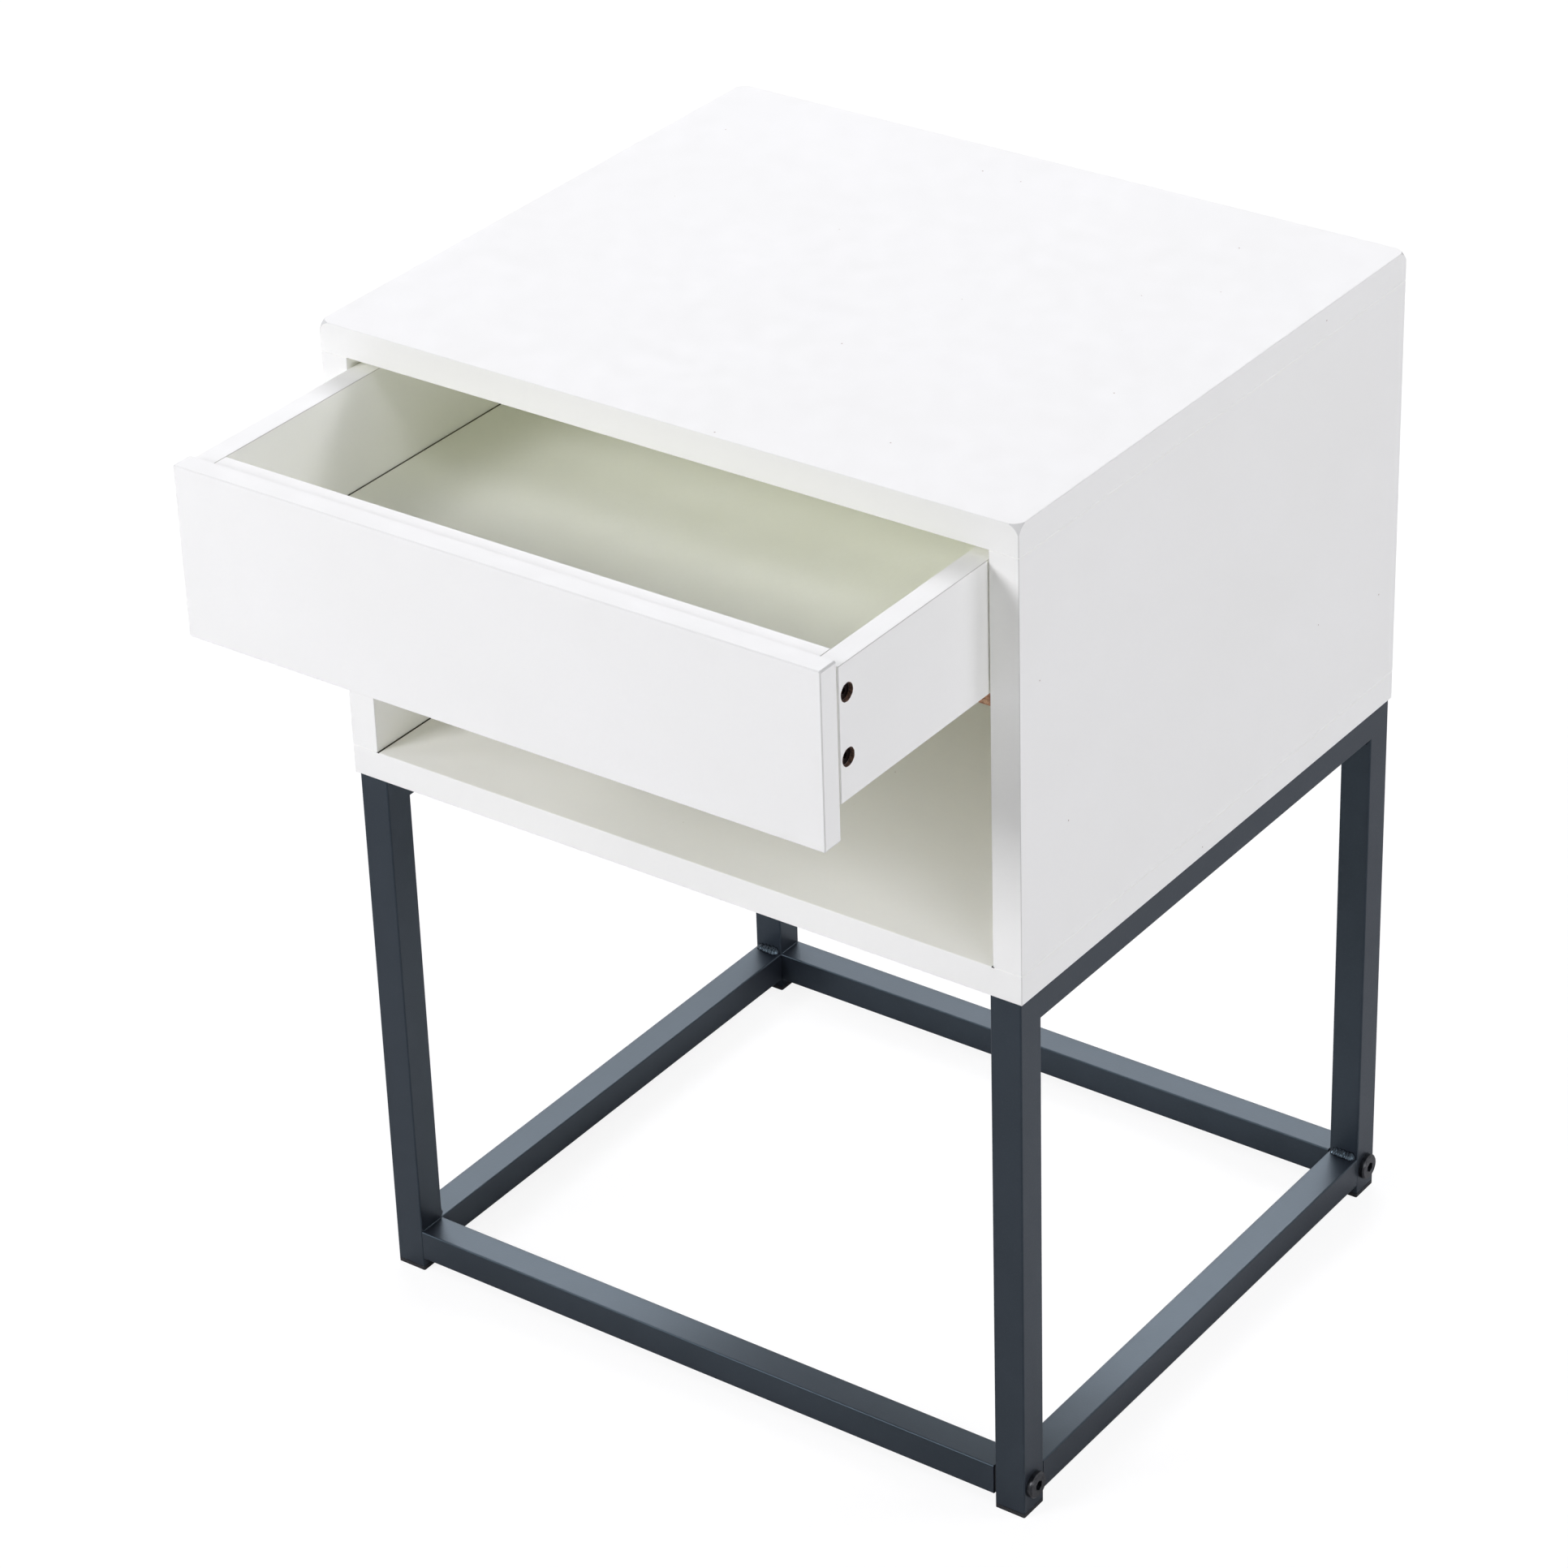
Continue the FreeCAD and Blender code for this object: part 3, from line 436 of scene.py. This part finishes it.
def make_coating(name, grain, depth, roughness):
    """Dark blue-grey powder coat: satin, with a faint orange peel and paler grains."""
    material, tree, shader, place = start_material(name)
    fine = noise(tree, place, grain, layers=3, strength=0.6)
    tint = spread(tree, noise(tree, place, COATING_CLOUD), NOISE_MIDDLE, COATING_CLOUD_SHARES)
    grains = spread(tree, fine, COATING_GRAIN_RANGE)
    colour = blend(tree, grains, blend(tree, tint, COATING, COATING_LIGHT), COATING_LIGHT)
    feed(tree, shader.inputs["Base Color"], colour)
    feed(tree, shader.inputs["Roughness"], spread(tree, fine, NOISE_MOST, roughness))
    shader.inputs["Specular IOR Level"].default_value = COATING_SPECULAR
    shader.inputs["Specular Tint"].default_value = (*COATING_GLOSS, 1)
    add_bump(tree, shader, fine, depth)
    return material


def make_plastic(name):
    """Moulded black plastic with a spark-eroded grain and paler scuffs."""
    material, tree, shader, place = start_material(name)
    grain = noise(tree, place, PLASTIC_GRAIN, layers=3)
    patches = noise(tree, squeezed(tree, place, SCUFF_SQUEEZE), PLASTIC_SCUFF, layers=5)
    scuffs = spread(tree, patches, SCUFF_RANGE)
    feed(tree, shader.inputs["Base Color"], blend(tree, scuffs, PLASTIC, PLASTIC_WORN))
    feed(tree, shader.inputs["Roughness"], spread(tree, grain, NOISE_MOST, PLASTIC_ROUGHNESS))
    add_bump(tree, shader, grain, PLASTIC_RELIEF)
    return material


def make_turned_metal(name, base, worn, metallic):
    """Turned and blackened steel: fine rubbed patches and a drawn grain."""
    material, tree, shader, place = start_material(name)
    shader.inputs["Metallic"].default_value = metallic
    rubbed = spread(tree, noise(tree, place, METAL_PATCH, layers=5), RUBBED_RANGE)
    grain = noise(tree, place, METAL_GRAIN, layers=3)
    feed(tree, shader.inputs["Base Color"], blend(tree, rubbed, base, worn))
    feed(tree, shader.inputs["Roughness"], spread(tree, grain, NOISE_MOST, METAL_ROUGHNESS))
    add_bump(tree, shader, grain, METAL_RELIEF)
    return material


FINISHES = {
    "white_board": make_white_board("box_board", BOX_EDGE_SHARE, 0),
    "drawer_board": make_white_board("drawer_board", DRAWER_EDGE_SHARE, DRAWER_RIM_SHARE),
    "white_hardboard": make_hardboard("hardboard"),
    "raw_wood": make_chipboard("raw_wood", RAW_WOOD_DARK, RAW_WOOD, RAW_WOOD_LIGHT, RUNNER_CHIP),
    "frame_coating": make_coating("frame_coating", COATING_GRAIN, COATING_RELIEF, COATING_ROUGHNESS),
    "weld": make_coating("weld", WELD_GRAIN, WELD_RELIEF, WELD_ROUGHNESS),
    "black_plastic": make_plastic("black_plastic"),
    "black_bolt": make_turned_metal("black_bolt", BLACK_OXIDE, BLACK_OXIDE_WORN, OXIDE_METALLIC),
    "dark_screw": make_turned_metal("dark_screw", SCREW_STEEL_DARK, SCREW_STEEL, STEEL_METALLIC),
    "hole_rim": make_chipboard("hole_rim", RIM_WOOD_DARK, RIM_WOOD, RIM_WOOD_LIGHT, RIM_CHIP),
}


def dress_nodes():
    """Give each CAD node the finish of its slot. The drawer's boards also show seams along their rims."""
    for name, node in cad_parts.items():
        for slot in node.material_slots:
            finish = slot.material.name
            if finish == "white_board" and name.startswith("drawer"):
                finish = "drawer_board"
            slot.material = FINISHES[finish]


# Pieces added round the CAD model

def add_piece(name, mesh, finish, body):
    """Smooth a bmesh, give it its finish, and let it ride on a body."""
    bmesh.ops.recalc_face_normals(mesh, faces=mesh.faces)
    data = bpy.data.meshes.new(name)
    mesh.to_mesh(data)
    mesh.free()
    data.polygons.foreach_set("use_smooth", [True] * len(data.polygons))
    data.materials.append(FINISHES[finish])
    piece = bpy.data.objects.new(name, data)
    SCENE.collection.objects.link(piece)
    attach(piece, body)


def join_rings(mesh, rings):
    """Faces between each closed ring of points and the next."""
    for ring, after in zip(rings, rings[1:]):
        for index in range(len(ring)):
            turn = (index + 1) % len(ring)
            mesh.faces.new((ring[index], ring[turn], after[turn], after[index]))


def noise_at(point, grain):
    """Smooth noise between about -1 and 1, the same each time."""
    return mathutils_noise.noise(point / grain)


def weld_reach(kind, share, middle):
    """How far a weld reaches along its walls at a share of its run: rippled, lumpy and rounded off."""
    size, ripples, lumps = WELDS[kind]
    taper = math.sqrt(1 - abs(2 * share - 1) ** WELD_END_POWER)
    ripple = 1 + WELD_RIPPLE_SHARE * math.sin(math.tau * ripples * share)
    lump = 1 + lumps * noise_at(middle, WELD_LUMP)
    return size * max(taper * ripple * lump, WELD_LEAST_SHARE)


def make_weld(name, kind, corner, along, walls, run):
    """A weld in the corner between two walls."""
    mesh = bmesh.new()
    first_wall, second_wall = walls
    rings = []
    for row in range(WELD_ROWS + 1):
        share = row / WELD_ROWS
        middle = corner + along * (share - 0.5) * run
        reach = weld_reach(kind, share, middle)
        ring = []
        for step in range(WELD_SECTION + 1):
            angle = math.pi / 2 * step / WELD_SECTION
            flat = 1 / (math.cos(angle) + math.sin(angle))
            full = (1 - WELD_ROUND_SHARE) * flat + WELD_ROUND_SHARE
            out = first_wall * math.cos(angle) + second_wall * math.sin(angle)
            ring.append(mesh.verts.new(middle + out * reach * full))
        ring.append(mesh.verts.new(middle - (first_wall + second_wall) * WELD_SUNK))
        rings.append(ring)
    join_rings(mesh, rings)
    mesh.faces.new(rings[0])
    mesh.faces.new(rings[-1])
    add_piece(name, mesh, "weld", "cabinet")


def make_welds():
    """Where the legs meet the rails of the side frames, and the left legs the cross rails."""
    across, back, up = Vector((1, 0, 0)), Vector((0, 1, 0)), Vector((0, 0, 1))
    for hand in ("left", "right"):
        for end, inward in (("front", back), ("back", -back)):
            leg_low, leg_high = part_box(f"leg_{end}_{hand}")
            middle = (leg_low.x + leg_high.x) / 2
            inner_face = leg_high.y if end == "front" else leg_low.y
            run = leg_high.x - leg_low.x - 2 * WELD_END_GAP
            under_rail = Vector((middle, inner_face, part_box(f"top_rail_{hand}")[0].z))
            over_rail = Vector((middle, inner_face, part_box(f"side_rail_{hand}")[1].z))
            make_weld(f"top_weld_{end}_{hand}", "top", under_rail, across, (inward, -up), run)
            make_weld(f"low_weld_{end}_{hand}", "low", over_rail, across, (inward, up), run)
    for end in ("front", "back"):
        rail_low, rail_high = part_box(f"cross_rail_{end}")
        corner = Vector((rail_low.x, (rail_low.y + rail_high.y) / 2, rail_high.z))
        run = rail_high.y - rail_low.y - 2 * WELD_END_GAP
        make_weld(f"cross_weld_{end}", "cross", corner, back, (across, up), run)


def torn_radius(angle, middle, outward):
    """How far out the laminate is torn back at an angle round a screw's hole."""
    way = Vector((math.cos(angle), math.sin(angle), outward))
    tear = (1 + noise_at(way + middle / MM, TEAR_GRAIN)) / 2
    return HOLE_RADIUS - LINING_GAP + LEAST_TEAR + TEAR_SPREAD * tear


def make_hole_rim(name, middle, outward):
    """The bare chipboard in a screw's hole, with the laminate torn back a little round it."""
    mesh = bmesh.new()
    angles = [math.tau * index / HOLE_SEGMENTS for index in range(HOLE_SEGMENTS)]
    lining = [HOLE_RADIUS - LINING_GAP] * HOLE_SEGMENTS
    torn = [torn_radius(angle, middle, outward) for angle in angles]
    profile = [(lining, height) for height in (-HOLE_DEPTH, -HOLE_DEPTH / 2, 0, LINING_GAP)]
    profile.append((torn, LINING_GAP))
    rings = []
    for radii, height in profile:
        ring = []
        for angle, radius in zip(angles, radii):
            offset = Vector((outward * height, radius * math.cos(angle), radius * math.sin(angle)))
            ring.append(mesh.verts.new(middle + offset))
        rings.append(ring)
    join_rings(mesh, rings)
    add_piece(name, mesh, "hole_rim", "drawer")


def make_hole_rims():
    """One for each screw sunk in the drawer's sides."""
    low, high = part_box("drawer_front_screws")
    head_radius = (high.y - low.y) / 2
    y = (low.y + high.y) / 2
    for hand, outward in (("left", -1), ("right", 1)):
        side_low, side_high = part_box(f"drawer_side_{hand}")
        face = side_high.x if outward > 0 else side_low.x
        for level, z in (("low", low.z + head_radius), ("high", high.z - head_radius)):
            make_hole_rim(f"hole_rim_{hand}_{level}", Vector((face, y, z)), outward)


# Floor, sky, light and camera

def make_floor_material():
    """Pale for the light that it returns, and where it is seen white, but darker in the shadow."""
    material = bpy.data.materials.new("floor")
    material.use_nodes = True
    tree = material.node_tree
    tree.nodes.clear()
    path = tree.nodes.new("ShaderNodeLightPath")
    seen = compute(tree, "MAXIMUM", path.outputs["Is Camera Ray"], path.outputs["Is Transmission Ray"])
    colour = blend(tree, seen, FLOOR_COLOUR, FLOOR_SEEN)
    colour = blend(tree, path.outputs["Is Glossy Ray"], colour, FLOOR_IN_GLOSS)
    surface = tree.nodes.new("ShaderNodeBsdfDiffuse")
    glow = tree.nodes.new("ShaderNodeEmission")
    both = tree.nodes.new("ShaderNodeAddShader")
    output = tree.nodes.new("ShaderNodeOutputMaterial")
    tree.links.new(colour, surface.inputs["Color"])
    tree.links.new(compute(tree, "MULTIPLY", seen, FLOOR_SEEN_GLOW), glow.inputs["Strength"])
    tree.links.new(surface.outputs[0], both.inputs[0])
    tree.links.new(glow.outputs[0], both.inputs[1])
    tree.links.new(both.outputs[0], output.inputs["Surface"])
    return material


def make_floor():
    """A plain floor that reaches far past the nightstand."""
    mesh = bmesh.new()
    bmesh.ops.create_grid(mesh, x_segments=FLOOR_SEGMENTS, y_segments=FLOOR_SEGMENTS, size=FLOOR_REACH)
    data = bpy.data.meshes.new("floor")
    mesh.to_mesh(data)
    mesh.free()
    data.materials.append(make_floor_material())
    floor = bpy.data.objects.new("floor", data)
    SCENE.collection.objects.link(floor)


def make_sky():
    """A faint sky whose lower part is white where it is seen or mirrored."""
    world = bpy.data.worlds.new("sky")
    SCENE.world = world
    world.use_nodes = True
    tree = world.node_tree
    tree.nodes.clear()
    path = tree.nodes.new("ShaderNodeLightPath")
    seen = compute(tree, "MAXIMUM", path.outputs["Is Camera Ray"], path.outputs["Is Glossy Ray"])
    seen = compute(tree, "MAXIMUM", seen, path.outputs["Is Transmission Ray"])
    way = tree.nodes.new("ShaderNodeTexCoord").outputs["Generated"]
    top = (math.sin(WHITE_TOP - WHITE_TOP_BLUR), math.sin(WHITE_TOP + WHITE_TOP_BLUR))
    lower = spread(tree, parts_of(tree, way)["Z"], top, FULL_TO_NONE)
    white = compute(tree, "MULTIPLY", seen, lower)
    light = tree.nodes.new("ShaderNodeBackground")
    light.inputs["Color"].default_value = (*SKY_COLOUR, 1)
    strength = compute(tree, "MULTIPLY_ADD", white, 1 - SKY_LIGHT, SKY_LIGHT)
    tree.links.new(strength, light.inputs["Strength"])
    output = tree.nodes.new("ShaderNodeOutputWorld")
    tree.links.new(light.outputs[0], output.inputs["Surface"])


def make_softboxes():
    """Area lamps that face the nightstand and aren't seen themselves."""
    for name, (place, (width, height), power) in SOFTBOXES.items():
        light = bpy.data.lights.new(name, "AREA")
        light.shape = "RECTANGLE"
        light.size = width
        light.size_y = height
        light.energy = power
        light.color = SOFTBOX_COLOUR
        lamp = bpy.data.objects.new(name, light)
        lamp.visible_camera = False
        lamp.location = place
        lamp.rotation_euler = (Vector(SOFTBOX_AIM) - Vector(place)).to_track_quat("-Z", "Y").to_euler()
        SCENE.collection.objects.link(lamp)


def make_camera():
    """The photo's viewpoint."""
    data = bpy.data.cameras.new("camera")
    data.sensor_width = SENSOR
    data.lens = LENS
    data.shift_x = SHIFT_X
    data.shift_y = SHIFT_Y
    camera = bpy.data.objects.new("camera", data)
    turn = (
        Matrix.Rotation(CAMERA_AZIMUTH, 4, "Z")
        @ Matrix.Rotation(math.pi / 2 - CAMERA_ELEVATION, 4, "X")
        @ Matrix.Rotation(CAMERA_ROLL, 4, "Z")
    )
    camera.matrix_world = Matrix.Translation(CAMERA_PLACE) @ turn
    SCENE.collection.objects.link(camera)
    SCENE.camera = camera


dress_nodes()
make_welds()
make_hole_rims()
make_floor()
make_sky()
make_softboxes()
make_camera()
SCENE.view_settings.view_transform = "Standard"
SCENE.cycles.diffuse_bounces = DIFFUSE_BOUNCES
